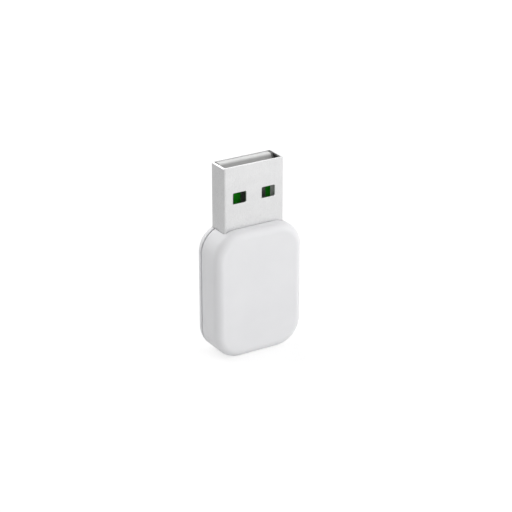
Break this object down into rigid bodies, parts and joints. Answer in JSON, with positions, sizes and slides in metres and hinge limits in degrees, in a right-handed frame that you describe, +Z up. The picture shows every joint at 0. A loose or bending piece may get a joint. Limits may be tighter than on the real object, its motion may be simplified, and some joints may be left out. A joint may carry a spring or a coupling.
{
  "type": "smart home usb radio stick",
  "caption": "Small upright radio stick: a softly rounded white moulded body in front and rear covers with a standard metal plug on its upper end and a radio board inside.",
  "frame": {"origin": "middle of the flat lower end that the stick stands on, in the middle of the body's width and depth", "axes": "+Z up through the body to the plug's mouth, -Y towards the plain front face, +X to the right seen from the front"},
  "size_m": [0.0176, 0.0076, 0.0354],
  "materials": {
    "white_plastic": "satin white moulded plastic",
    "plated_steel": "bright nickel-plated steel sheet",
    "grey_plastic": "light grey moulded plastic",
    "green_board": "green solder mask over glass epoxy",
    "contact_metal": "plated contact strip",
    "tin_plate": "tin-plated steel sheet",
    "chip_resin": "black moulded resin",
    "crystal_can": "plated metal cap on ceramic",
    "antenna_ceramic": "white ceramic",
    "capacitor_ceramic": "tan ceramic with tin ends"
  },
  "bodies": {
    "root": {"front_cover": "white_plastic", "rear_cover": "white_plastic", "usb_shell": "plated_steel", "plug_carrier": "grey_plastic", "main_board": "green_board", "contact_outer_left": "contact_metal", "contact_inner_left": "contact_metal", "contact_inner_right": "contact_metal", "contact_outer_right": "contact_metal", "shield_frame": "tin_plate", "shield_lid": "tin_plate", "radio_chip": "chip_resin", "radio_crystal": "crystal_can", "radio_filter": "crystal_can", "usb_bridge_chip": "chip_resin", "voltage_regulator": "chip_resin", "surge_protector": "chip_resin", "chip_antenna": "antenna_ceramic", "matching_inductor": "antenna_ceramic", "matching_capacitor": "capacitor_ceramic", "capacitor_1": "capacitor_ceramic", "capacitor_2": "capacitor_ceramic", "capacitor_3": "capacitor_ceramic", "capacitor_4": "capacitor_ceramic", "capacitor_5": "capacitor_ceramic", "capacitor_6": "capacitor_ceramic"}
  },
  "joints": []
}
